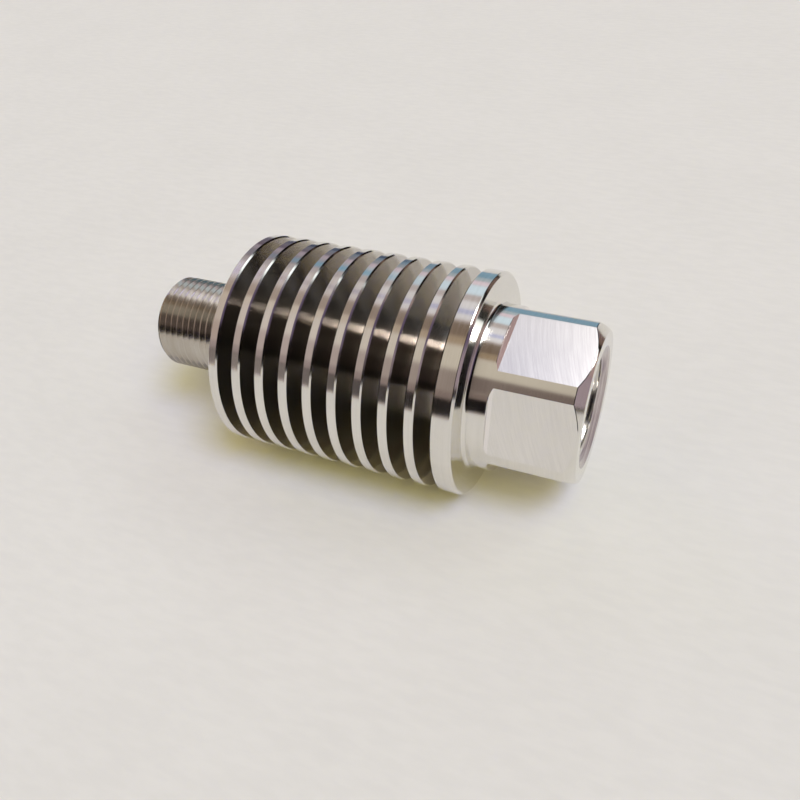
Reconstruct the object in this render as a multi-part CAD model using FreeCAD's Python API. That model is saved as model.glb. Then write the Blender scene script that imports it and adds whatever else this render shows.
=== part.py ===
import FreeCAD, Part
import math
import os

os.makedirs("parts", exist_ok=True)

# Finned siphon for a pressure gauge, one turned and milled stainless piece.
# The part stands on its socket end: that face is z = 0 and the axis is +Z.

# Round body that takes the gauge, next to the flange.
body_diameter = 33.0
body_length = 21.0
body_end_chamfer = 1.8

# Wrench flats milled on the body. A round collar is left between them and the flange.
flat_count = 6
across_flats = 30.0
collar_length = 4.3
flat_root_radius = 0.6

# M20 x 1.5 thread, the same for the socket and the stub.
thread_major_diameter = 20.0
thread_pitch = 1.5

# Female socket at the tapping size, with a countersunk mouth. The gauge seals on its flat floor.
countersink_diameter = 24.0
countersink_angle = 120.0
socket_depth = 19.0

# Passage for the steam or liquid, from the socket's floor to the stub's tip.
passage_diameter = 6.0

# Cooling discs: one thick flange next to the body, then the thin fins.
fin_diameter = 45.0
flange_thickness = 4.0
flange_edge_chamfer = 0.5
flange_root_radius = 0.8
fin_count = 9
fin_thickness = 2.0
fin_gap = 3.2
core_diameter = 21.0

# Male stub, with a relief between its thread and the last fin.
stub_length = 23.0
stub_tip_chamfer = 1.1
relief_length = 2.5
relief_depth = 1.2

# Cutters run this far past the metal that they remove.
overrun = 1.0

# Radii that follow from the diameters.
body_radius = body_diameter / 2
flat_distance = across_flats / 2
fin_radius = fin_diameter / 2
core_radius = core_diameter / 2
stub_radius = thread_major_diameter / 2
relief_radius = stub_radius - relief_depth
passage_radius = passage_diameter / 2
countersink_radius = countersink_diameter / 2

# The crests of an internal thread lie 5/8 of the sharp vee's height inside its major circle.
vee_height = thread_pitch * math.sqrt(3) / 2
socket_radius = stub_radius - 5 / 8 * vee_height

# Radius that the countersink's cone gains for each millimetre towards the mouth.
countersink_slope = math.tan(math.radians(countersink_angle / 2))

# Heights above the socket's end face.
flats_top = body_length - collar_length
flange_top = body_length + flange_thickness
fin_pitch = fin_gap + fin_thickness
fins_top = flange_top + fin_count * fin_pitch
total_height = fins_top + stub_length


def section_point(corner):
    """Place a (radius, height) pair in the XZ plane."""
    radius, height = corner
    return FreeCAD.Vector(radius, 0, height)


def straight_edges(corners):
    """Join a run of (radius, height) corners with straight edges."""
    points = [section_point(corner) for corner in corners]
    return [Part.makeLine(start, end) for start, end in zip(points, points[1:])]


def quarter_arc(start, centre, end):
    """Quarter circle between two corners that lie at right angles from its centre."""
    radius = math.dist(start, centre)
    away = [start[i] + end[i] - 2 * centre[i] for i in (0, 1)]
    reach = radius / math.hypot(*away)
    middle = [centre[i] + away[i] * reach for i in (0, 1)]
    return Part.Arc(section_point(start), section_point(middle), section_point(end)).toShape()


def turned(edges):
    """Revolve a closed section about the axis."""
    section = Part.Face(Part.Wire(edges))
    return section.revolve(FreeCAD.Vector(0, 0, 0), FreeCAD.Vector(0, 0, 1), 360)


def flange_corners():
    """Rim of the thick flange, chamfered towards the body."""
    return [
        (fin_radius - flange_edge_chamfer, body_length),
        (fin_radius, body_length + flange_edge_chamfer),
        (fin_radius, flange_top),
    ]


def fin_corners(number):
    """One groove's floor and the fin above it."""
    groove_bottom = flange_top + number * fin_pitch
    fin_bottom = groove_bottom + fin_gap
    return [
        (core_radius, groove_bottom),
        (core_radius, fin_bottom),
        (fin_radius, fin_bottom),
        (fin_radius, fin_bottom + fin_thickness),
    ]


def stub_corners():
    """Relief, thread blank and chamfered tip, up to the axis."""
    relief_top = fins_top + relief_length
    return [
        (relief_radius, fins_top),
        (relief_radius, relief_top),
        (stub_radius, relief_top + relief_depth),
        (stub_radius, total_height - stub_tip_chamfer),
        (stub_radius - stub_tip_chamfer, total_height),
        (0, total_height),
    ]


def turned_blank():
    """The bar as it leaves the lathe: body, flange, fins and stub."""
    root_start = (body_radius, body_length - flange_root_radius)
    root_centre = (body_radius + flange_root_radius, body_length - flange_root_radius)
    root_end = (body_radius + flange_root_radius, body_length)
    body = [(0, 0), (body_radius - body_end_chamfer, 0), (body_radius, body_end_chamfer), root_start]
    discs = [root_end] + flange_corners()
    for number in range(fin_count):
        discs += fin_corners(number)
    edges = straight_edges(body)
    edges.append(quarter_arc(root_start, root_centre, root_end))
    edges += straight_edges(discs + stub_corners() + [(0, 0)])
    return turned(edges)


def flat_cutter(number):
    """Milling cut for one wrench flat, rounded where it meets the collar."""
    root_start = (flat_distance + flat_root_radius, flats_top)
    root_centre = (flat_distance + flat_root_radius, flats_top - flat_root_radius)
    root_end = (flat_distance, flats_top - flat_root_radius)
    outside = body_radius + overrun
    edges = straight_edges([root_end, (flat_distance, -overrun), (outside, -overrun)])
    edges += straight_edges([(outside, -overrun), (outside, flats_top), root_start])
    edges.append(quarter_arc(root_start, root_centre, root_end))
    cutter = Part.Face(Part.Wire(edges)).extrude(FreeCAD.Vector(0, body_diameter, 0))
    cutter.translate(FreeCAD.Vector(0, -body_radius, 0))
    cutter.rotate(FreeCAD.Vector(0, 0, 0), FreeCAD.Vector(0, 0, 1), number * 360 / flat_count)
    return cutter


def socket_cutter():
    """Countersink and tapping-size bore of the gauge socket, with its flat floor."""
    mouth_top = (countersink_radius - socket_radius) / countersink_slope
    corners = [
        (0, -overrun),
        (countersink_radius + overrun * countersink_slope, -overrun),
        (socket_radius, mouth_top),
        (socket_radius, socket_depth),
        (0, socket_depth),
        (0, -overrun),
    ]
    return turned(straight_edges(corners))


def passage_cutter():
    """Small bore through the whole length."""
    return Part.makeCylinder(passage_radius, total_height + overrun)


def siphon_body():
    """The finished piece as one solid."""
    cutters = [flat_cutter(number) for number in range(flat_count)]
    cutters += [socket_cutter(), passage_cutter()]
    finished = turned_blank().cut(cutters)
    if len(finished.Solids) != 1 or not finished.isValid():
        raise ValueError("the siphon body is not one valid solid")
    return finished.Solids[0]


siphon_body().exportStep("parts/siphon_body.step")
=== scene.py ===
"""Looks of the finned gauge siphon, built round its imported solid.

The siphon is one closed surface, swept round the +Z axis from one line of corners:
out over the socket's end face, up the body and the discs to the stub, and back down
inside through the passage and the socket. Lengths are in millimetres until the mesh is made.
"""

import logging
import math
from dataclasses import dataclass, field
from enum import IntEnum

import bmesh
import bpy
import numpy as np
from mathutils import Matrix, Vector

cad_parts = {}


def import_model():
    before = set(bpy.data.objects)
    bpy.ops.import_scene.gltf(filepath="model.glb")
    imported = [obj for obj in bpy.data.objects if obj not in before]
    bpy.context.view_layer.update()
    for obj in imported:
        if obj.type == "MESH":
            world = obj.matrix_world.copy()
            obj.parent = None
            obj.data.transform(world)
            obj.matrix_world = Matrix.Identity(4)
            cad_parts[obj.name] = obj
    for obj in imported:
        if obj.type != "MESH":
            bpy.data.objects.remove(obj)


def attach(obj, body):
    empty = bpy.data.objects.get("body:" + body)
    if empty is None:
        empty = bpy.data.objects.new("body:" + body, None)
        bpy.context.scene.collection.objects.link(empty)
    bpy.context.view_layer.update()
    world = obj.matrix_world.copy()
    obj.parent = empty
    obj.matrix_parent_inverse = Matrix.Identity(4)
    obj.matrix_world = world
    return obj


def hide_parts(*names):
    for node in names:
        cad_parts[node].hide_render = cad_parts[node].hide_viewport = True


log = logging.getLogger("siphon")

MM = 0.001
BODY = "root"
NODE = "siphon_body"

Colour = tuple[float, float, float]
Limit = tuple[list[float], list[float]]
Array = np.ndarray
Socket = bpy.types.NodeSocket

# Sizes that more than one part of the siphon uses, in millimetres.
BODY_RADIUS = 16.5
BODY_LENGTH = 21.0
FLAT_DISTANCE = 15.0
SEAM_RADIUS = 13.35
THREAD_PITCH = 1.5
THREAD_RADIUS = 10.0
TIP_HEIGHT = 94.8
TIP_RADIUS = 8.9

# Numbers as small as this count as nought.
TINY = 1e-12

# Steps shorter than this, in millimetres, have no normal of their own.
SHORTEST_STEP = 1e-7

# Rows or columns at the near and at the far side of a grid's faces, and the four corners in turn.
NEAR = slice(None, -1)
FAR = slice(1, None)
FACE_CORNERS = ((NEAR, NEAR), (NEAR, FAR), (FAR, FAR), (FAR, NEAR))

# Values between which a noise goes from not seen to seen in full.
NOISE_STEP = (0.3, 0.7)

# Millimetres between the siphon's middle and the lamps.
LAMP_DISTANCE = 1500.0


def srgb(*shown: int) -> Colour:
    """Turn an eight-bit display colour into linear light.

    Args:
        *shown: Red, green and blue, 0 to 255.

    Returns:
        The three linear values.
    """
    linear = []
    for channel in shown:
        share = channel / 255
        dark = share <= 0.04045
        linear.append(share / 12.92 if dark else ((share + 0.055) / 1.055) ** 2.4)
    return linear[0], linear[1], linear[2]


def linked_object(name: str, data: bpy.types.ID) -> bpy.types.Object:
    """Make an object and link it to the scene.

    Args:
        name: The object's name.
        data: Its mesh, light or camera.

    Returns:
        The object.
    """
    made = bpy.data.objects.new(name, data)
    bpy.context.scene.collection.objects.link(made)
    return made


class FinishZone(IntEnum):
    """Which finish a face takes, in the order of the mesh's material slots."""

    TURNED = 0
    MILLED = 1
    GROOVE = 2
    THREAD = 3
    BORE = 4
    CORE = 5
    SHOULDER = 6
    MOUTH = 7


# Shader maths.


class Value:
    """A number that flows through a shader, written as ordinary maths."""

    def __init__(self, nodes: "ShaderNodes", socket: Socket) -> None:
        """Wrap the output socket of a tree that carries the number."""
        self.nodes = nodes
        self.socket = socket

    def maths(self, operation: str, *others: "Value | float") -> "Value":
        """Result of one Math node that starts from this value."""
        return self.nodes.maths(operation, self, *others)

    def __add__(self, other: "Value | float") -> "Value":
        """Sum of the two."""
        return self.maths("ADD", other)

    def __radd__(self, other: float) -> "Value":
        """Sum of a plain number and this value."""
        return self.nodes.maths("ADD", other, self)

    def __sub__(self, other: "Value | float") -> "Value":
        """This value less the other."""
        return self.maths("SUBTRACT", other)

    def __rsub__(self, other: float) -> "Value":
        """A plain number less this value."""
        return self.nodes.maths("SUBTRACT", other, self)

    def __mul__(self, other: "Value | float") -> "Value":
        """Product of the two."""
        return self.maths("MULTIPLY", other)

    def __rmul__(self, other: float) -> "Value":
        """Product of a plain number and this value."""
        return self.nodes.maths("MULTIPLY", other, self)

    def __truediv__(self, other: "Value | float") -> "Value":
        """This value divided by the other."""
        return self.maths("DIVIDE", other)

    def __abs__(self) -> "Value":
        """Size of this value."""
        return self.maths("ABSOLUTE")

    def clamped(self) -> "Value":
        """This value held between nought and one."""
        node = self.nodes.node("ShaderNodeClamp", {}, {"Value": self})
        return Value(self.nodes, node.outputs["Result"])

    def ramped(self, start: float, end: float) -> "Value":
        """Smooth step of this value.

        Args:
            start: Where the step is still nought.
            end: Where the step has reached one.

        Returns:
            The step, from nought to one.
        """
        settings = {"interpolation_type": "SMOOTHSTEP"}
        ends = {"Value": self, "From Min": start, "From Max": end}
        node = self.nodes.node("ShaderNodeMapRange", settings, ends)
        return Value(self.nodes, node.outputs["Result"])

    def stepped(self, middle: float, width: float) -> "Value":
        """Smooth step of this value, given by its middle and its width."""
        return self.ramped(middle - width / 2, middle + width / 2)


class ShaderNodes:
    """Adds nodes to one material's or world's tree."""

    def __init__(self, owner: bpy.types.ID) -> None:
        """Take over the tree of a material or world, and empty it.

        Args:
            owner: The material or world.
        """
        owner.use_nodes = True
        self.tree = owner.node_tree
        self.tree.nodes.clear()

    def node(self, kind: str, settings: dict, values: dict) -> bpy.types.Node:
        """Add any node, set it up and feed its sockets.

        Args:
            kind: The node's type name.
            settings: Properties to set before the sockets are fed.
            values: Numbers, colours or links, by the input's identifier or name.

        Returns:
            The new node.
        """
        made = self.tree.nodes.new(kind)
        for name, setting in settings.items():
            setattr(made, name, setting)
        for name, value in values.items():
            self.feed(self.input_of(made, name), value)
        return made

    def input_of(self, made: bpy.types.Node, name: str) -> Socket:
        """Find a node's input by its identifier, or else by its name.

        Args:
            made: The node.
            name: The identifier or the name.

        Returns:
            The input.
        """
        for socket in made.inputs:
            if socket.identifier == name:
                return socket
        return made.inputs[name]

    def feed(self, socket: Socket, value: object) -> None:
        """Link a socket to a value, or set it to a plain one.

        Args:
            socket: The input to feed.
            value: A value, a link, a colour or a number.
        """
        if isinstance(value, Value):
            self.tree.links.new(value.socket, socket)
        elif isinstance(value, Socket):
            self.tree.links.new(value, socket)
        elif socket.type == "RGBA":
            socket.default_value = (*value, 1.0)
        else:
            socket.default_value = value

    def maths(self, operation: str, *operands: Value | float) -> Value:
        """Add one Math node.

        Args:
            operation: The node's operation.
            *operands: Its inputs in order.

        Returns:
            The node's result.
        """
        made = self.node("ShaderNodeMath", {"operation": operation}, {})
        for socket, operand in zip(made.inputs, operands):
            self.feed(socket, operand)
        return Value(self, made.outputs[0])

    def mixed(self, share: Value | float, first: object, second: object) -> Socket:
        """Blend two colours.

        Args:
            share: How much of the second colour shows.
            first: Colour or link where the share is nought.
            second: Colour or link where the share is one.

        Returns:
            The blended colour.
        """
        inputs = {"Factor_Float": share, "A_Color": first, "B_Color": second}
        made = self.node("ShaderNodeMix", {"data_type": "RGBA"}, inputs)
        return next(out for out in made.outputs if out.identifier == "Result_Color")

    def scaled(self, vector: object, factor: Value | float) -> Socket:
        """Multiply a vector or colour by a number."""
        made = self.node("ShaderNodeVectorMath", {"operation": "SCALE"}, {"Vector": vector, "Scale": factor})
        return made.outputs["Vector"]

    def joined(self, across: Value | float, along: Value | float, up: Value | float) -> Socket:
        """Make a vector of three numbers."""
        made = self.node("ShaderNodeCombineXYZ", {}, {"X": across, "Y": along, "Z": up})
        return made.outputs["Vector"]

    def split(self, vector: object) -> tuple[Value, Value, Value]:
        """Take a vector apart into its three numbers."""
        made = self.node("ShaderNodeSeparateXYZ", {}, {"Vector": vector})
        return Value(self, made.outputs[0]), Value(self, made.outputs[1]), Value(self, made.outputs[2])

    def coordinates(self, kind: str) -> Socket:
        """Texture coordinates of one kind, such as Object or Generated."""
        return self.node("ShaderNodeTexCoord", {}, {}).outputs[kind]

    def noise(self, vector: object, scale: float, detail: float) -> Value:
        """Cloudy random field.

        Args:
            vector: Where to look it up.
            scale: Number of cells for each unit of the vector.
            detail: Number of finer layers.

        Returns:
            The field, about one half on average.
        """
        inputs = {"Vector": vector, "Scale": scale, "Detail": detail}
        made = self.node("ShaderNodeTexNoise", {"noise_dimensions": "3D"}, inputs)
        return Value(self, made.outputs[0])


# Finishes.


@dataclass(frozen=True)
class SteelFinish:
    """Bare stainless steel, with tool marks that follow how a face was cut.

    The marks' pitch and depth are in millimetres. Coarse marks have finer ones between
    them, and the stretch is how often either changes along its run. The coarse ones have
    their own shares of the tone and of the height. The grain is the marks' share of the
    tone, and clouds make up the rest. The worn share is the clouds' share of the roughness.
    Marks are counted by the height, and on a face square to the axis by the radius times
    the face share.
    """

    name: str
    light: Colour
    dark: Colour
    roughness: tuple[float, float]
    mark_pitch: float
    mark_depth: float
    grain: float
    anisotropic: float = 0.0
    rotation: float = 0.25
    face_share: float = 0.83
    stretch: float = 0.6
    fine_pitch: float = 0.28
    fine_stretch: float = 2.5
    fine_shift: float = 3.0
    coarse_tone: float = 0.6
    coarse_height: float = 0.7
    worn_share: float = 0.3
    cloud_scale: float = 0.16

    def marks_position(self, nodes: ShaderNodes, place: Socket) -> tuple[Value, Value]:
        """Say where a point lies across and along the tool marks.

        Args:
            nodes: The material's nodes.
            place: The point in millimetres.

        Returns:
            The distance across the marks and the distance along them.
        """
        across, along, up = nodes.split(place)
        radius = nodes.maths("SQRT", across * across + along * along)
        return radius * self.face_share + up, nodes.maths("ARCTAN2", along, across)

    def material(self) -> bpy.types.Material:
        """Build the material.

        Returns:
            The material, ready for a mesh's slot.
        """
        made = bpy.data.materials.new(self.name)
        nodes = ShaderNodes(made)
        place = nodes.scaled(nodes.coordinates("Object"), 1 / MM)
        cross, run = self.marks_position(nodes, place)
        coarse_place = nodes.joined(cross / self.mark_pitch, run * self.stretch, 0.0)
        coarse = nodes.noise(coarse_place, scale=1.0, detail=2.0)
        fine_cross = cross / (self.mark_pitch * self.fine_pitch)
        fine_place = nodes.joined(fine_cross, run * self.fine_stretch, self.fine_shift)
        fine = nodes.noise(fine_place, scale=1.0, detail=1.0)
        clouds = nodes.noise(place, self.cloud_scale, detail=3.0)
        streaks = (coarse * self.coarse_tone + fine * (1 - self.coarse_tone)).ramped(*NOISE_STEP)
        tone = (streaks * self.grain + clouds.ramped(*NOISE_STEP) * (1 - self.grain)).clamped()
        smooth, rough = self.roughness
        roughness = smooth + (rough - smooth) * (streaks * (1 - self.worn_share) + clouds * self.worn_share)
        height = coarse * self.coarse_height + fine * (1 - self.coarse_height)
        bump_inputs = {"Strength": 1.0, "Distance": self.mark_depth * MM, "Height": height}
        bump = nodes.node("ShaderNodeBump", {}, bump_inputs)
        inputs = {
            "Base Color": nodes.mixed(tone, self.dark, self.light),
            "Metallic": 1.0,
            "Roughness": roughness,
            "Normal": bump.outputs["Normal"],
            "Anisotropic": self.anisotropic,
            "Anisotropic Rotation": self.rotation,
        }
        shader = nodes.node("ShaderNodeBsdfPrincipled", {}, inputs)
        nodes.node("ShaderNodeOutputMaterial", {}, {"Surface": shader.outputs["BSDF"]})
        return made


@dataclass(frozen=True)
class MilledFinish(SteelFinish):
    """Steel cut by a face mill, whose teeth leave shallow arcs across each wrench flat.

    The lean is the arcs' slope across the flat, and the shift sets each flat's marks apart.
    """

    flats: int = 6
    cutter_radius: float = 60.0
    lean: float = -0.34
    shift: float = 7.3
    arc_stretch: float = 0.12

    def marks_position(self, nodes: ShaderNodes, place: Socket) -> tuple[Value, Value]:
        """Say where a point lies across and along the mill's arcs.

        Args:
            nodes: The material's nodes.
            place: The point in millimetres.

        Returns:
            The distance across the arcs and the distance along them.
        """
        across, along, up = nodes.split(place)
        turn = nodes.maths("ARCTAN2", along, across)
        sector = 2 * math.pi / self.flats
        index = nodes.maths("ROUND", turn / sector)
        fold = turn - index * sector
        radius = nodes.maths("SQRT", across * across + along * along)
        offset = radius * nodes.maths("SINE", fold)
        arc = offset * offset / (2 * self.cutter_radius)
        return up + offset * self.lean + arc + index * self.shift, offset * self.arc_stretch


STEEL_LIGHT = (0.82, 0.80, 0.76)
STEEL_DARK = (0.74, 0.72, 0.67)

FINISHES: dict[FinishZone, SteelFinish] = {
    FinishZone.TURNED: SteelFinish(
        name="turned_rim_steel", light=STEEL_LIGHT, dark=STEEL_DARK,
        roughness=(0.10, 0.17), mark_pitch=0.35, mark_depth=0.0012, grain=0.6, anisotropic=0.5,
    ),
    FinishZone.MILLED: MilledFinish(
        name="milled_flat_steel", light=(0.88, 0.86, 0.83), dark=(0.76, 0.74, 0.71),
        roughness=(0.203, 0.243), mark_pitch=0.24, mark_depth=0.0016, grain=0.85,
    ),
    # The fins' facing sides and the core between them get steel darker than the rims': painted shade that
    # deepens the gaps between the fins.
    FinishZone.GROOVE: SteelFinish(
        name="turned_groove_steel_painted_shade", light=(0.66, 0.63, 0.59), dark=(0.58, 0.55, 0.51),
        roughness=(0.14, 0.16), mark_pitch=0.5, mark_depth=0.00001, grain=0.3, anisotropic=1.0,
    ),
    FinishZone.CORE: SteelFinish(
        name="turned_core_steel_painted_shade", light=(0.72, 0.67, 0.66), dark=(0.62, 0.58, 0.57),
        roughness=(0.28, 0.33), mark_pitch=0.4, mark_depth=0.0002, grain=0.6, anisotropic=1.0,
    ),
    # The shoulder's steel is lighter than any other zone's: painted light on the narrow band at each flat's
    # root.
    FinishZone.SHOULDER: SteelFinish(
        name="milled_shoulder_steel_painted_light", light=(0.93, 0.90, 0.89), dark=(0.83, 0.80, 0.79),
        roughness=(0.15, 0.20), mark_pitch=0.2, mark_depth=0.001, grain=0.7,
    ),
    # The thread's steel is darker and browner than the rest: painted shade, standing in for the shadowed
    # cloth that the stub mirrors.
    FinishZone.THREAD: SteelFinish(
        name="cut_thread_steel_painted_shade", light=(0.58, 0.54, 0.48), dark=(0.45, 0.41, 0.35),
        roughness=(0.17, 0.26), mark_pitch=0.3, mark_depth=0.002, grain=0.6, anisotropic=0.3,
    ),
    # The countersink's marks swing to a near-black, purplish tone far below steel: painted dark reflections
    # in the countersink.
    FinishZone.MOUTH: SteelFinish(
        name="countersunk_steel_painted_reflection", light=(0.66, 0.60, 0.58), dark=(0.26, 0.20, 0.24),
        roughness=(0.14, 0.20), mark_pitch=0.16, mark_depth=0.0005, grain=1.0, anisotropic=0.3,
    ),
    # The socket's steel is darker than the rims': painted shade inside the socket.
    FinishZone.BORE: SteelFinish(
        name="bored_socket_steel_painted_shade", light=(0.72, 0.69, 0.65), dark=(0.56, 0.53, 0.49),
        roughness=(0.18, 0.30), mark_pitch=0.4, mark_depth=0.003, grain=0.6, anisotropic=0.3,
    ),
}


# The swept surface.


@dataclass
class Corner:
    """One corner of the line that is swept round the axis.

    The radius and the height are one number for every direction, or one for each column.
    The ease is how far back from the corner its edge is broken. The zone is the finish of
    the face that follows, and flat_zone takes its place between the edges of a wrench flat.
    A smooth corner is a point of an arc, so light runs on over it without a break.
    """

    radius: Array | float
    height: Array | float
    ease: float = 0.0
    zone: FinishZone = FinishZone.TURNED
    flat_zone: FinishZone | None = None
    smooth: bool = False


@dataclass
class Columns:
    """Directions round the axis in which the surface has its points.

    They are close together across each wrench flat and wider apart on the round bands
    between the flats. The edge break is how far the last ones lie from a flat's edge.
    """

    flat_count: int = 6
    flat_half_angle: float = math.acos(FLAT_DISTANCE / BODY_RADIUS)
    edge_break: float = 0.05
    flat_steps: int = 24
    band_steps: int = 5

    def __post_init__(self) -> None:
        """Work out the angles, and which columns start inside a wrench flat."""
        sector = 2 * math.pi / self.flat_count
        tuck = self.edge_break / BODY_RADIUS
        inner = self.flat_half_angle - tuck
        outer = self.flat_half_angle + tuck
        flat = np.linspace(-inner, inner, self.flat_steps + 1)
        band = np.linspace(outer, sector - outer, self.band_steps + 1)
        turns = np.arange(self.flat_count) * sector
        angles = (turns[:, None] + np.concatenate([flat, band])[None, :]).ravel()
        angles = np.roll(angles, -(self.flat_steps // 2))
        self.angles = np.where(angles < -TINY, angles + 2 * math.pi, angles)
        self.count = len(self.angles)
        self.off_flat = np.abs(self.angles - np.round(self.angles / sector) * sector)
        following = np.roll(self.off_flat, -1)
        self.in_flat = np.maximum(self.off_flat, following) < self.flat_half_angle


def unit(vectors: Array) -> Array:
    """Bring vectors to length one, and leave those of no length alone."""
    length = np.linalg.norm(vectors, axis=-1, keepdims=True)
    return vectors / np.maximum(length, TINY)


def outwards(angles: Array) -> Array:
    """Unit vectors away from the axis."""
    return np.stack([np.cos(angles), np.sin(angles), np.zeros_like(angles)], axis=-1)


def around(angles: Array) -> Array:
    """Unit vectors round the axis."""
    return np.stack([-np.sin(angles), np.cos(angles), np.zeros_like(angles)], axis=-1)


def fillet(
    wall: float, face: float, size: float, steps: int, zone: FinishZone, rising: bool
) -> list[Corner]:
    """Rounded foot between a turned wall and a face square to the axis.

    Args:
        wall: Radius of the wall.
        face: Height of the face.
        size: Radius of the rounding.
        steps: Number of sides that it has.
        zone: The finish of those sides.
        rising: True where the line runs up the wall to a face, False where it leaves a face.

    Returns:
        The corners of the rounding in the order of the line.
    """
    corners = []
    for step in range(steps + 1):
        angle = math.radians(90 * (step if rising else steps - step) / steps)
        out = wall + size * (1 - math.cos(angle))
        drop = size * (1 - math.sin(angle))
        corners.append(Corner(out, face - drop if rising else face + drop, zone=zone, smooth=True))
    return corners


def turned_normal(step: Array, angles: Array) -> Array:
    """Normal of a turned face.

    Args:
        step: The way along the swept line, as vectors.
        angles: The direction round the axis of each vector.

    Returns:
        The normals, at right angles to the step and to the way round.
    """
    return unit(np.cross(around(angles), step))


class SweptSurface:
    """Collects points and faces of a surface swept round the axis.

    Each run of faces holds the numbers of their corners, their finishes, and the normals at
    their corners.
    """

    # Points closer than this, in metres, become one.
    WELD = 2e-6

    # Most of a side that a broken edge takes.
    MOST_OF_SIDE = 0.45

    def __init__(self, columns: Columns) -> None:
        """Start with nothing.

        Args:
            columns: The directions in which every ring has its points.
        """
        self.columns = columns
        self.points: list[Array] = []
        self.faces: list[tuple[Array, Array, Array]] = []
        self.total = 0

    def add_points(self, places: Array) -> Array:
        """Add points.

        Args:
            places: The points in any arrangement.

        Returns:
            Their numbers in the same arrangement.
        """
        flat = places.reshape(-1, 3)
        self.points.append(flat)
        numbers = np.arange(self.total, self.total + len(flat)).reshape(places.shape[:-1])
        self.total += len(flat)
        return numbers

    def placed(self, radius: Array | float, height: Array | float, angles: Array) -> Array:
        """Turn radius, height and angle into points.

        Args:
            radius: Distance from the axis.
            height: Height along the axis.
            angles: Direction round the axis.

        Returns:
            The points.
        """
        out = radius * np.cos(angles)
        along = radius * np.sin(angles)
        return np.stack([out, along, np.broadcast_to(height, out.shape)], axis=-1)

    def sweep(self, line: list[Corner]) -> None:
        """Sweep an open line of corners, with its edges broken.

        Args:
            line: The corners in order. The first and the last are shared with what is next to them.
        """
        broken = self.with_broken_edges(line)
        rings = [self.placed(corner.radius, corner.height, self.columns.angles) for corner in broken]
        numbers = [self.add_points(ring) for ring in rings]
        sides = [self.side_normals(*pair) for pair in zip(rings, rings[1:], broken)]
        for index, corner in enumerate(broken[:-1]):
            own = sides[index]
            below = unit(own + sides[index - 1]) if corner.smooth and index else own
            ends_smooth = broken[index + 1].smooth and index + 1 < len(sides)
            above = unit(own + sides[index + 1]) if ends_smooth else own
            lower, upper = numbers[index], numbers[index + 1]
            quads = np.stack([lower, np.roll(lower, -1), np.roll(upper, -1), upper], axis=1)
            normals = np.stack([below[0], below[1], above[1], above[0]], axis=1)
            self.faces.append((quads, self.zones_of(corner), normals))

    def zones_of(self, corner: Corner) -> Array:
        """Finish of each face that follows a corner.

        Args:
            corner: The corner.

        Returns:
            One number of a finish zone for each column.
        """
        zones = np.full(self.columns.count, int(corner.zone))
        if corner.flat_zone is not None:
            zones[self.columns.in_flat] = int(corner.flat_zone)
        return zones

    def side_normals(self, lower: Array, upper: Array, corner: Corner) -> Array:
        """Normals at the two sides of every face between two rings.

        Args:
            lower: The first ring's points.
            upper: The second ring's points.
            corner: The corner at the first ring.

        Returns:
            The normals at the faces' first and second columns.
        """
        step = upper - lower
        next_step = np.roll(step, -1, axis=0)
        angles = self.columns.angles
        first = turned_normal(step, angles)
        second = turned_normal(next_step, np.roll(angles, -1))
        if corner.flat_zone is not None:
            chord = np.roll(lower, -1, axis=0) - lower + np.roll(upper, -1, axis=0) - upper
            flat = self.columns.in_flat[:, None]
            first = np.where(flat, unit(np.cross(chord, step)), first)
            second = np.where(flat, unit(np.cross(chord, next_step)), second)
        bare = np.linalg.norm(step, axis=1) < SHORTEST_STEP
        next_bare = np.roll(bare, -1)
        first = np.where(bare[:, None], second, first)
        second = np.where(next_bare[:, None], first, second)
        return np.stack([first, second])

    def with_broken_edges(self, line: list[Corner]) -> list[Corner]:
        """Replace each corner that has an ease with two, one on each side of it.

        Args:
            line: The sharp corners.

        Returns:
            The corners to sweep.
        """
        broken: list[Corner] = []
        for index, corner in enumerate(line):
            if corner.ease == 0.0 or index in (0, len(line) - 1):
                broken.append(corner)
                continue
            towards = self.step_from(corner, line[index - 1])
            onwards = self.step_from(corner, line[index + 1])
            broken.append(Corner(*towards))
            broken.append(Corner(*onwards, zone=corner.zone, flat_zone=corner.flat_zone))
        return broken

    def step_from(self, corner: Corner, neighbour: Corner) -> tuple[Array, Array]:
        """Go from a corner towards its neighbour by the corner's ease.

        Args:
            corner: Where to start.
            neighbour: Where to head.

        Returns:
            The radius and the height reached.
        """
        ones = np.ones(self.columns.count)
        out = (neighbour.radius - corner.radius) * ones
        rise = (neighbour.height - corner.height) * ones
        length = np.hypot(out, rise)
        share = np.minimum(corner.ease / np.maximum(length, TINY), self.MOST_OF_SIDE)
        return corner.radius + out * share, corner.height + rise * share

    def object(self, name: str) -> bpy.types.Object:
        """Weld the collected faces into one closed mesh.

        Args:
            name: The object's name.

        Returns:
            The object, linked to the scene.
        """
        mesh = bpy.data.meshes.new(name)
        points = np.concatenate(self.points) * MM
        quads, zones, normals = (np.concatenate(runs) for runs in zip(*self.faces))
        mesh.from_pydata(points.tolist(), [], quads.tolist())
        mesh.polygons.foreach_set("material_index", zones.astype(np.int32))
        store = mesh.attributes.new("turned_normal", "FLOAT_VECTOR", "CORNER")
        store.data.foreach_set("vector", normals.astype(np.float32).ravel())
        self.weld(mesh, name)
        store = mesh.attributes["turned_normal"]
        welded = np.zeros(len(mesh.loops) * 3, dtype=np.float32)
        store.data.foreach_get("vector", welded)
        mesh.attributes.remove(store)
        mesh.polygons.foreach_set("use_smooth", np.ones(len(mesh.polygons), dtype=bool))
        mesh.normals_split_custom_set(welded.reshape(-1, 3).tolist())
        return linked_object(name, mesh)

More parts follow.
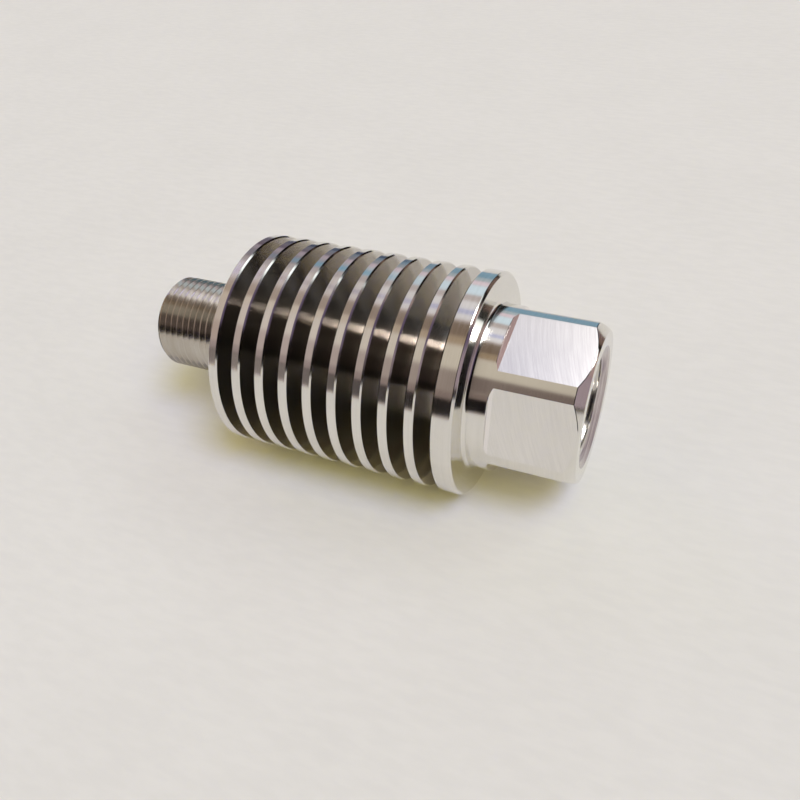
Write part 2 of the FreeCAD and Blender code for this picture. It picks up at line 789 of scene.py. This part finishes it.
    def weld(self, mesh: bpy.types.Mesh, name: str) -> None:
        """Join points that lie on each other, and check that the surface is closed.

        Args:
            mesh: The mesh to weld.
            name: What to call it in a message.
        """
        surface = bmesh.new()
        surface.from_mesh(mesh)
        bmesh.ops.remove_doubles(surface, verts=surface.verts[:], dist=self.WELD)
        open_edges = [edge for edge in surface.edges if len(edge.link_faces) != 2]
        if open_edges:
            raise ValueError(f"{name} has {len(open_edges)} open edges")
        surface.to_mesh(mesh)
        surface.free()


@dataclass
class HelicalThread:
    """Right-handed thread, laid on a grid that climbs with the helix.

    The largest and the smallest are turned shapes that cut the thread off at its ends, each
    as rising heights and the radii there. A point that they move by more than the least
    cut, in millimetres, is turned and not threaded. An inner thread is swept downwards, so
    its faces are turned the other way. The softness is how far the polish has rounded the
    flanks, whose lean is in degrees, and the crest is the share of the pitch that lies at
    the major radius.
    """

    pitch: float
    major_radius: float
    minor_radius: float
    bottom: float
    top: float
    zone: FinishZone
    largest: Limit
    smallest: Limit
    inner: bool = False
    softness: float = 2.4
    crest: float = 1 / 8
    lean: float = 30.0
    least_cut: float = 1e-6
    flank_steps: int = 3

    def bends(self) -> tuple[float, float]:
        """Places within one pitch where the minor radius starts and ends."""
        flank = (self.major_radius - self.minor_radius) * math.tan(math.radians(self.lean)) / self.pitch
        return self.crest + flank, 1 - flank

    def rows(self) -> Array:
        """Places within one pitch where the grid has its rows.

        Returns:
            Rising shares of the pitch, from nought to less than one.
        """
        start, end = self.bends()
        first = np.linspace(self.crest, start, self.flank_steps + 1)
        second = np.linspace(end, 1, self.flank_steps + 1)[:-1]
        return np.concatenate([[0.0], first, second])

    def profile(self, share: Array) -> Array:
        """Radius at places within one pitch.

        Args:
            share: The places as shares of the pitch.

        Returns:
            The uncut thread's radius at each.
        """
        start, end = self.bends()
        major, minor = self.major_radius, self.minor_radius
        return np.interp(share, [0.0, self.crest, start, end, 1.0], [major, major, minor, minor, major])

    def add_to(self, surface: SweptSurface) -> None:
        """Lay the thread between its bottom and its top.

        Args:
            surface: The surface to add to.
        """
        rows = self.rows()
        turns = math.ceil((self.top - self.bottom) / self.pitch) + 1
        starts = np.arange(-1, turns)
        climb = (starts[:, None] + rows[None, :]).ravel()
        angles = np.append(surface.columns.angles, 2 * math.pi)[None, :]
        height = self.bottom + self.pitch * (climb[:, None] + angles / (2 * math.pi))
        whole = np.broadcast_to(self.profile(np.tile(rows, len(starts)))[:, None], height.shape)
        height = np.clip(height, self.bottom, self.top)
        radius = np.clip(whole, np.interp(height, *self.smallest), np.interp(height, *self.largest))
        angles = np.broadcast_to(angles, height.shape)
        places = surface.placed(radius, height, angles)
        numbers = surface.add_points(places)
        normals = self.normals(places, angles, np.abs(whole - radius) > self.least_cut)
        order = (0, 3, 2, 1) if self.inner else (0, 1, 2, 3)
        quads = np.stack([numbers[FACE_CORNERS[index]] for index in order], axis=-1).reshape(-1, 4)
        normals = np.stack([normals[index] for index in order], axis=-2).reshape(-1, 4, 3)
        surface.faces.append((quads, np.full(len(quads), int(self.zone)), normals))

    def normals(self, places: Array, angles: Array, cut: Array) -> list[Array]:
        """Normals at the four corners of every face of the grid.

        Args:
            places: The grid's points.
            angles: Their directions round the axis.
            cut: Which points the turned limits have moved.

        Returns:
            One array of normals for each corner.
        """
        radius = np.hypot(places[..., 0], places[..., 1])[..., None]
        lead = np.array([0.0, 0.0, self.pitch / (2 * math.pi)])
        about, away = around(angles), outwards(angles)
        helix = about * radius + lead
        step = places[FAR] - places[NEAR]
        first, second, third, fourth = (places[corner] for corner in FACE_CORNERS)
        plain = unit(np.cross(third - first, fourth - second))
        cuts = np.stack([cut[corner] for corner in FACE_CORNERS])
        all_cut, none_cut = cuts.all(axis=0)[..., None], (~cuts).all(axis=0)[..., None]
        side = -1.0 if self.inner else 1.0
        found = []
        for corner in FACE_CORNERS:
            side_step = step[:, corner[1]]
            flank = unit(np.cross(helix[corner], side_step))
            threaded = unit(flank + self.softness * away[corner])
            turned = unit(np.cross(about[corner], side_step))
            short = np.linalg.norm(side_step, axis=-1, keepdims=True) < SHORTEST_STEP
            normal = np.where(all_cut, turned, np.where(none_cut, threaded, plain))
            found.append(side * np.where(short, plain, normal))
        return found


# The siphon's parts.


@dataclass
class WrenchBody:
    """Round body that takes the gauge, with six milled flats and a round collar."""

    columns: Columns
    radius: float = BODY_RADIUS
    length: float = BODY_LENGTH
    end_chamfer: float = 1.8
    flat_distance: float = FLAT_DISTANCE
    flats_top: float = 16.7
    flat_root: float = 0.6
    flange_root: float = 0.8
    root_steps: int = 5
    edge: float = 0.08

    def chamfer_top(self) -> tuple[Array, Array]:
        """Where the end chamfer meets the flats or the round bands.

        Returns:
            The radius and the height in each column.
        """
        start = self.radius - self.end_chamfer
        reach = np.minimum(self.flat_distance / np.cos(self.columns.off_flat), self.radius)
        return reach, reach - start

    def root_bevel(self) -> list[Corner]:
        """Bevelled foot of the shoulder between a flat and the collar.

        Returns:
            The corners from the flat up to the shoulder.
        """
        cosine = np.cos(self.columns.off_flat)
        bottom = self.flats_top - self.flat_root
        room = np.clip(self.radius * cosine - self.flat_distance, 0.0, self.flat_root)
        corners = []
        for rise in (np.zeros(self.columns.count), room):
            away = np.minimum((self.flat_distance + rise) / cosine, self.radius)
            corners.append(Corner(away, bottom + rise, flat_zone=FinishZone.SHOULDER))
        return corners

    def line(self) -> list[Corner]:
        """Follow the body from the middle of its end face up to the flange.

        Returns:
            The corners in order.
        """
        start = self.radius - self.end_chamfer
        bevel = self.root_bevel()
        corners = [
            Corner(SEAM_RADIUS, 0.0),
            Corner(start, 0.0, ease=self.edge),
            Corner(*self.chamfer_top(), ease=self.edge, flat_zone=FinishZone.MILLED),
            *bevel,
            Corner(self.radius, bevel[-1].height, ease=self.edge),
        ]
        zone = FinishZone.TURNED
        root = fillet(self.radius, self.length, self.flange_root, self.root_steps, zone, rising=True)
        return corners + root


@dataclass
class CoolingDiscs:
    """One thick flange and nine thin fins on a slimmer core.

    The radius is a hair under 22.5, so that the round rims stay within the solid's facets.
    """

    radius: float = 22.488
    bottom: float = BODY_LENGTH
    flange_thickness: float = 4.0
    flange_chamfer: float = 0.5
    fin_count: int = 9
    fin_thickness: float = 2.0
    fin_gap: float = 3.2
    core_radius: float = 10.5
    root: float = 0.25
    root_steps: int = 2
    edge: float = 0.28
    flange_edge: float = 0.06

    def root_arc(self, face: float, rising: bool) -> list[Corner]:
        """Small fillet between the core and a disc's face."""
        return fillet(self.core_radius, face, self.root, self.root_steps, FinishZone.GROOVE, rising)

    def line(self) -> list[Corner]:
        """Follow the discs from the flange's chamfer to the last fin's edge.

        Returns:
            The corners in order.
        """
        top = self.bottom + self.flange_thickness
        groove = FinishZone.GROOVE
        corners = [
            Corner(self.radius - self.flange_chamfer, self.bottom, ease=self.flange_edge),
            Corner(self.radius, self.bottom + self.flange_chamfer, ease=self.flange_edge),
            Corner(self.radius, top, ease=self.edge, zone=groove),
        ]
        for number in range(self.fin_count):
            ceiling = top + self.fin_gap
            floor = self.root_arc(top, rising=False)
            floor[-1].zone = FinishZone.CORE
            corners += floor + self.root_arc(ceiling, rising=True)
            corners.append(Corner(self.radius, ceiling, ease=self.edge))
            top = ceiling + self.fin_thickness
            after = groove if number < self.fin_count - 1 else FinishZone.TURNED
            corners.append(Corner(self.radius, top, ease=self.edge, zone=after))
        return corners


@dataclass
class ThreadedStub:
    """Male stub with a relief at its root and a chamfered tip."""

    bottom: float = 71.8
    top: float = TIP_HEIGHT
    relief_length: float = 2.5
    relief_radius: float = 8.8
    radius: float = THREAD_RADIUS
    root_radius: float = 9.08
    pitch: float = THREAD_PITCH
    tip_radius: float = TIP_RADIUS
    root: float = 0.35
    root_steps: int = 3

    def line(self) -> list[Corner]:
        """Follow the relief up to where the thread starts.

        Returns:
            The corners in order.
        """
        zone = FinishZone.THREAD
        foot = fillet(self.relief_radius, self.bottom, self.root, self.root_steps, zone, rising=False)
        return foot + [Corner(self.relief_radius, self.bottom + self.relief_length, zone=zone)]

    def thread(self) -> HelicalThread:
        """Cut the thread, between the relief's ramp and the tip's chamfer.

        Returns:
            The male thread.
        """
        start = self.bottom + self.relief_length
        climb = self.radius - self.relief_radius
        tip = self.radius - self.tip_radius
        heights = [start, start + climb, self.top - tip, self.top]
        radii = [self.relief_radius, self.radius, self.radius, self.tip_radius]
        return HelicalThread(
            pitch=self.pitch,
            major_radius=self.radius,
            minor_radius=self.root_radius,
            bottom=start,
            top=self.top,
            zone=FinishZone.THREAD,
            largest=(heights, radii),
            smallest=([start], [0.0]),
        )


@dataclass
class GaugeSocket:
    """Passage, flat-floored socket, female thread and countersunk mouth.

    The mouth's lean is the angle in degrees between its cone and the axis.
    """

    tip: float = TIP_HEIGHT
    tip_radius: float = TIP_RADIUS
    passage_radius: float = 3.0
    depth: float = 19.0
    bore_radius: float = 9.188
    groove_radius: float = THREAD_RADIUS
    pitch: float = THREAD_PITCH
    run_out: tuple[float, float] = (16.2, 17.0)
    mouth_radius: float = 12.0
    mouth_lean: float = 60.0
    passage_edge: float = 0.2
    floor_edge: float = 0.15
    mouth_edge: float = 0.08

    def inner_line(self) -> list[Corner]:
        """Follow the inside from the stub's tip down to where the female thread ends.

        Returns:
            The corners in order.
        """
        bore = FinishZone.BORE
        return [
            Corner(self.tip_radius, self.tip),
            Corner(self.passage_radius, self.tip, ease=self.passage_edge, zone=bore),
            Corner(self.passage_radius, self.depth, ease=self.passage_edge, zone=bore),
            Corner(self.bore_radius, self.depth, ease=self.floor_edge, zone=bore),
            Corner(self.bore_radius, self.run_out[1], zone=bore),
        ]

    def mouth_height(self, radius: float) -> float:
        """Height at which the countersink has a radius."""
        return (self.mouth_radius - radius) / math.tan(math.radians(self.mouth_lean))

    def thread(self) -> HelicalThread:
        """Cut the thread, which starts in the countersink and runs out above.

        Returns:
            The female thread.
        """
        bottom = self.mouth_height(self.groove_radius)
        heights = [bottom, self.mouth_height(self.bore_radius)]
        radii = [self.groove_radius, self.bore_radius]
        return HelicalThread(
            pitch=self.pitch,
            major_radius=self.groove_radius,
            minor_radius=self.bore_radius,
            bottom=bottom,
            top=self.run_out[1],
            zone=FinishZone.BORE,
            largest=(list(self.run_out), radii),
            smallest=(heights, radii),
            inner=True,
        )

    def mouth_line(self) -> list[Corner]:
        """Follow the countersink out to the middle of the end face.

        Returns:
            The corners in order.
        """
        return [
            Corner(self.groove_radius, self.mouth_height(self.groove_radius), zone=FinishZone.MOUTH),
            Corner(self.mouth_radius, 0.0, ease=self.mouth_edge),
            Corner(SEAM_RADIUS, 0.0),
        ]


@dataclass
class Siphon:
    """The whole siphon, one piece cut from one bar."""

    name: str = "siphon_turned_body"
    columns: Columns = field(default_factory=Columns)

    def build(self) -> bpy.types.Object:
        """Sweep the surface, dress it and put it in the solid's place.

        Returns:
            The finished object.
        """
        surface = SweptSurface(self.columns)
        body = WrenchBody(self.columns)
        stub = ThreadedStub()
        socket = GaugeSocket()
        surface.sweep(body.line() + CoolingDiscs().line() + stub.line())
        stub.thread().add_to(surface)
        surface.sweep(socket.inner_line())
        socket.thread().add_to(surface)
        surface.sweep(socket.mouth_line())
        made = surface.object(self.name)
        for zone in FinishZone:
            made.data.materials.append(FINISHES[zone].material())
        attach(made, BODY)
        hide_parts(NODE)
        return made


# Studio.


@dataclass(frozen=True)
class Directions:
    """Where the photograph was taken from, as directions round the siphon's axis.

    Turns are measured in degrees from the side that faces the camera, and grow towards
    the side that is upwards in the picture.
    """

    facing: float = -94.0
    middle: float = 47.0

    def towards(self, turn: float) -> Vector:
        """Unit vector square to the axis at a turn."""
        angle = math.radians(self.facing + turn)
        return Vector((math.cos(angle), math.sin(angle), 0.0))


DIRECTIONS = Directions()


@dataclass(frozen=True)
class LightZone:
    """One part of the room that the steel reflects, as a patch of the directions.

    The centre, half width and softness are turns in degrees. The far colour takes the
    colour's place towards the stub end. The reach is how far the patch goes along the
    axis, from the socket end at -1 to the stub end at 1, and its fade.
    """

    name: str
    centre: float
    half_width: float
    soft: float
    colour: Colour
    far_colour: Colour | None = None
    reach: tuple[float, float] = (-2.0, 2.0)
    fade: float = 0.1

    def mask(self, nodes: ShaderNodes, turn: Value, rise: Value) -> Value:
        """Share of this patch in a direction.

        Args:
            nodes: The world's nodes.
            turn: The direction's turn in degrees.
            rise: The direction's share along the axis.

        Returns:
            One inside the patch and nought outside it.
        """
        wrapped = nodes.maths("WRAP", turn - self.centre, -180.0, 180.0)
        share = 1 - abs(wrapped).stepped(self.half_width, self.soft)
        low, high = self.reach
        if low > -1.0:
            share = share * rise.stepped(low, self.fade)
        if high < 1.0:
            share = share * (1 - rise.stepped(high, self.fade))
        return share

    def shade(self, nodes: ShaderNodes, far: Value) -> object:
        """Colour of this patch, which may be another one towards the stub end.

        Args:
            nodes: The world's nodes.
            far: Share of the far colour in a direction.

        Returns:
            The colour, or a link to it.
        """
        if self.far_colour is None:
            return self.colour
        return nodes.mixed(far, self.colour, self.far_colour)


def mirrored(*shown: int) -> Colour:
    """Light that the turned steel shows as an eight-bit display colour.

    Args:
        *shown: Red, green and blue, 0 to 255.

    Returns:
        The light as linear values.
    """
    steel = (sum(pair) / 2 for pair in zip(STEEL_LIGHT, STEEL_DARK))
    lit = [channel / share for channel, share in zip(srgb(*shown), steel)]
    return lit[0], lit[1], lit[2]


@dataclass
class Room:
    """Soft studio light from all round, with the patches that polished steel shows."""

    base: Colour = mirrored(172, 158, 150)
    backdrop: Colour = srgb(222, 219, 214)
    far_start: float = 0.25
    far_end: float = 0.53
    zones: tuple[LightZone, ...] = (
        LightZone("far_wall", 148, 9, 6, mirrored(156, 146, 152), mirrored(150, 138, 142)),
        LightZone("teal_curtain", 131, 9, 5, mirrored(118, 146, 160), mirrored(98, 90, 100)),
        LightZone("navy_fold", 137, 6, 4, mirrored(56, 64, 84), reach=(0.36, 0.50), fade=0.06),
        LightZone("pale_fold", 118.5, 4, 4, mirrored(158, 169, 171), mirrored(82, 68, 82)),
        LightZone("pink_edge", 111, 4, 4, mirrored(212, 192, 196), mirrored(145, 132, 140)),
        LightZone("window", 99, 8, 5, mirrored(200, 214, 220), mirrored(122, 112, 118)),
        LightZone("teal_spot", 97, 4, 4, mirrored(109, 148, 166), reach=(0.38, 0.49), fade=0.08),
        LightZone("shade_bar", 86, 3, 4, mirrored(172, 160, 154), mirrored(160, 151, 151)),
        LightZone("soft_lamp", 70, 12, 5, mirrored(205, 200, 198), mirrored(178, 166, 158)),
        LightZone("lamp_bar", 68, 3, 3, mirrored(165, 166, 190), mirrored(165, 150, 142)),
        LightZone("brown_shade", 47, 9, 6, mirrored(108, 90, 74), mirrored(158, 142, 130)),
        LightZone("brown_foot", 35, 5, 5, mirrored(145, 124, 98), mirrored(195, 182, 168)),
        LightZone("warm_wall", 18, 13, 6, mirrored(187, 176, 158), mirrored(195, 183, 173)),
        LightZone("dim_wall", -5, 12, 8, mirrored(142, 128, 116), mirrored(172, 156, 150)),
        LightZone("dim_foot", -19, 5, 5, mirrored(120, 104, 95), mirrored(148, 132, 128)),
        LightZone("dark_corner", -31, 9, 4, mirrored(16, 12, 12), reach=(-2.0, 0.50), fade=0.45),
        LightZone("stub_shade", 18, 32, 12, mirrored(150, 126, 100), reach=(0.57, 2.0), fade=0.04),
        LightZone("stub_top", 115, 30, 10, mirrored(86, 71, 75), reach=(0.57, 2.0), fade=0.04),
        LightZone("dark_far_end", 50, 95, 10, mirrored(135, 115, 92), reach=(0.68, 2.0), fade=0.08),
        LightZone("stub_dark", -31, 8, 5, mirrored(52, 40, 32), reach=(0.57, 2.0), fade=0.04),
        LightZone("stub_lamp", 75, 10, 6, (1.55, 1.5, 2.8), reach=(0.585, 0.78), fade=0.03),
        LightZone("dim_low", -3, 10, 6, mirrored(112, 98, 90), reach=(-2.0, 0.27), fade=0.04),
        LightZone("dark_end", 50, 95, 10, srgb(12, 8, 9), reach=(-2.0, 0.05), fade=0.12),
        LightZone("lilac_end", 45, 40, 14, srgb(98, 84, 110), reach=(-2.0, -0.72), fade=0.1),
        LightZone("violet_end", 115, 30, 14, srgb(178, 152, 148), reach=(-2.0, -0.72), fade=0.1),
        LightZone("pink_end", 45, 70, 14, srgb(165, 148, 155), reach=(-2.0, -0.93), fade=0.04),
        LightZone("brown_end", 136, 16, 8, srgb(120, 98, 90), reach=(-0.62, -0.33), fade=0.06),
        LightZone("pale_end", 78, 16, 4, (1.4, 1.5, 1.55), reach=(-0.68, -0.25), fade=0.06),
    )

    def build(self) -> None:
        """Make the world and hand it to the scene."""
        world = bpy.data.worlds.new("studio_room")
        nodes = ShaderNodes(world)
        across, along, rise = nodes.split(nodes.coordinates("Generated"))
        turn = nodes.maths("ARCTAN2", along, across) * (180 / math.pi) - DIRECTIONS.facing
        far = rise.ramped(self.far_start, self.far_end)
        colour: Colour | Socket = self.base
        for zone in self.zones:
            blend = nodes.mixed(zone.mask(nodes, turn, rise), colour, zone.shade(nodes, far))
            blend.node.label = zone.name
            colour = blend
        path = nodes.node("ShaderNodeLightPath", {}, {})
        seen = nodes.mixed(Value(nodes, path.outputs["Is Camera Ray"]), colour, self.backdrop)
        shader = nodes.node("ShaderNodeBackground", {}, {"Color": seen, "Strength": 1.0})
        nodes.node("ShaderNodeOutputWorld", {}, {"Surface": shader.outputs["Background"]})
        bpy.context.scene.world = world


@dataclass(frozen=True)
class Lamp:
    """Lamp far off that faces the middle of the siphon.

    The turn and the rise are its direction round and along the axis in degrees. Only the
    steel shows a lamp that is for the steel, and any other lamp only lights the cloth.
    """

    FOR_STEEL = False

    name: str
    turn: float
    rise: float
    level: float
    colour: Colour

    def light(self) -> bpy.types.Light:
        """Make the light itself, with its size and its power."""
        raise NotImplementedError

    def build(self) -> None:
        """Hang the lamp."""
        data = self.light()
        data.color = self.colour
        lamp = linked_object(self.name, data)
        angle = math.radians(self.rise)
        away = DIRECTIONS.towards(self.turn) * math.cos(angle) + Vector((0.0, 0.0, math.sin(angle)))
        sideways = Vector((0.0, 0.0, 1.0)).cross(away).normalized()
        turned = Matrix((sideways, away.cross(sideways), away)).transposed().to_4x4()
        place = (away * LAMP_DISTANCE + Vector((0.0, 0.0, DIRECTIONS.middle))) * MM
        lamp.matrix_world = Matrix.Translation(place) @ turned
        lamp.visible_camera = False
        lamp.visible_glossy = self.FOR_STEEL
        lamp.visible_diffuse = not self.FOR_STEEL


@dataclass(frozen=True)
class WindowLamp(Lamp):
    """Bright oblong window that the steel mirrors. The level is how bright it is, where 1 is white."""

    FOR_STEEL = True

    width: float
    length: float

    def light(self) -> bpy.types.Light:
        """Make the window's light.

        Returns:
            The light, an oblong of the window's size.
        """
        data = bpy.data.lights.new(self.name, "AREA")
        data.shape = "RECTANGLE"
        data.size = self.width * MM
        data.size_y = self.length * MM
        data.energy = self.level * math.pi * data.size * data.size_y
        return data


@dataclass(frozen=True)
class DomeLamp(Lamp):
    """Even light from a wide round patch of the ceiling.

    The spread is how wide the patch is, in degrees. The level is how bright white paper
    looks that faces it.
    """

    spread: float

    def light(self) -> bpy.types.Light:
        """Make the patch's light.

        Returns:
            The light, a sun as wide as the patch.
        """
        data = bpy.data.lights.new(self.name, "SUN")
        data.angle = math.radians(self.spread)
        data.energy = self.level * math.pi
        return data


LAMPS: tuple[Lamp, ...] = (
    DomeLamp("soft_ceiling", 23.0, -24.5, level=0.66, colour=(1.0, 0.947, 0.356), spread=50.0),
    DomeLamp("cool_ceiling", 30.0, -26.5, level=0.637, colour=(0.165, 0.263, 1.0), spread=24.0),
    WindowLamp("bright_window", 66.5, -17.0, level=33.0, colour=(1.0, 0.97, 0.95), width=450.0, length=651.0),
)


@dataclass
class PaleFloor:
    """One flat pale surface that shows only its front.

    Its mottle is made of clouds and of a finer pile, which has its own number of cells for
    each metre along its three directions. The darkest spots have a share of the shade.
    """

    name: str
    centre: Vector
    normal: Vector
    shade: Colour
    glow: Colour
    size: float = 3.0
    for_camera_only: bool = False
    cloud_scale: float = 30.0
    cloud_step: tuple[float, float] = (0.25, 0.75)
    pile_scale: tuple[float, float, float] = (500.0, 500.0, 170.0)
    pile_share: float = 0.6
    darkest: float = 0.95

    def build(self) -> None:
        """Make the surface, link it to the scene and keep it out of shadows."""
        surface = bmesh.new()
        half = self.size / 2
        corners = [(-half, -half), (half, -half), (half, half), (-half, half)]
        surface.faces.new([surface.verts.new((x, y, 0.0)) for x, y in corners])
        mesh = bpy.data.meshes.new(self.name)
        surface.to_mesh(mesh)
        surface.free()
        mesh.transform(self.normal.to_track_quat("Z", "Y").to_matrix().to_4x4())
        mesh.transform(Matrix.Translation(self.centre))
        mesh.materials.append(self.material())
        made = linked_object(self.name, mesh)
        made.visible_shadow = False
        if self.for_camera_only:
            made.visible_glossy = False
            made.visible_diffuse = False

    def material(self) -> bpy.types.Material:
        """Make matt cloth with a faint mottle, clear from behind.

        Returns:
            The material.
        """
        made = bpy.data.materials.new(self.name)
        nodes = ShaderNodes(made)
        place = nodes.coordinates("Object")
        clouds = nodes.noise(place, self.cloud_scale, detail=2.0).ramped(*self.cloud_step)
        cells = [number * scale for number, scale in zip(nodes.split(place), self.pile_scale)]
        pile = nodes.noise(nodes.joined(*cells), scale=1.0, detail=3.0).ramped(*NOISE_STEP)
        mottle = (clouds * (1 - self.pile_share) + pile * self.pile_share).clamped()
        darker = tuple(channel * self.darkest for channel in self.shade)
        cloth = nodes.node("ShaderNodeBsdfDiffuse", {}, {"Color": nodes.mixed(mottle, darker, self.shade)})
        glow = nodes.node("ShaderNodeEmission", {}, {"Color": self.glow, "Strength": 1.0})
        both = {"Shader": cloth.outputs[0], "Shader_001": glow.outputs[0]}
        front = nodes.node("ShaderNodeAddShader", {}, both)
        clear = nodes.node("ShaderNodeBsdfTransparent", {}, {})
        behind = nodes.node("ShaderNodeNewGeometry", {}, {}).outputs["Backfacing"]
        inputs = {"Fac": behind, "Shader": front.outputs[0], "Shader_001": clear.outputs[0]}
        shader = nodes.node("ShaderNodeMixShader", {}, inputs)
        nodes.node("ShaderNodeOutputMaterial", {}, {"Surface": shader.outputs[0]})
        return made


@dataclass(frozen=True)
class PhotoCamera:
    """Camera at the photograph's place, in millimetres, with its roll in radians."""

    distance: float = 151.6
    height: float = -15.9
    target_up: float = -6.89
    target_height: float = 38.75
    roll: float = 0.2099
    lens: float = 35.11
    sensor: float = 36.0
    nearest: float = 10.0
    farthest: float = 20000.0

    def build(self) -> None:
        """Make the camera and hand it to the scene."""
        data = bpy.data.cameras.new("photo_camera")
        data.lens = self.lens
        data.sensor_width = self.sensor
        data.clip_start = self.nearest * MM
        data.clip_end = self.farthest * MM
        camera = linked_object("photo_camera", data)
        upright = DIRECTIONS.towards(90.0)
        place = DIRECTIONS.towards(0.0) * self.distance + Vector((0.0, 0.0, self.height))
        target = upright * self.target_up + Vector((0.0, 0.0, self.target_height))
        forward = (target - place).normalized()
        level = forward.cross(upright).normalized()
        above = level.cross(forward)
        right = level * math.cos(self.roll) + above * math.sin(self.roll)
        up = above * math.cos(self.roll) - level * math.sin(self.roll)
        turned = Matrix((right, up, -forward)).transposed().to_4x4()
        camera.matrix_world = Matrix.Translation(place * MM) @ turned
        bpy.context.scene.camera = camera


@dataclass
class Studio:
    """Camera, room light and the two pale floors."""

    floor_turn: float = 49.0
    disc_radius: float = 22.5

    def build(self) -> None:
        """Set the stage."""
        PhotoCamera().build()
        Room().build()
        for lamp in LAMPS:
            lamp.build()
        up = DIRECTIONS.towards(self.floor_turn)
        PaleFloor(
            name="lying_cloth",
            centre=up * (-self.disc_radius * MM),
            normal=up,
            shade=(0.78, 0.75, 0.66),
            glow=(0.01, 0.008, 0.0),
        ).build()
        PaleFloor(
            name="standing_table",
            centre=Vector((0.0, 0.0, 0.0)),
            normal=Vector((0.0, 0.0, 1.0)),
            shade=(0.46, 0.45, 0.45),
            glow=(0.35, 0.35, 0.34),
            for_camera_only=True,
        ).build()
        bpy.context.scene.view_settings.view_transform = "Standard"


def main() -> None:
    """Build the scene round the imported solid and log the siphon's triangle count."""
    logging.basicConfig(level=logging.INFO, format="%(name)s: %(message)s")
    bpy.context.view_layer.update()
    Studio().build()
    siphon = Siphon().build()
    triangles = sum(len(face.vertices) - 2 for face in siphon.data.polygons)
    log.info("%s: %d triangles", siphon.name, triangles)


if __name__ == "__main__":
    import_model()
    main()
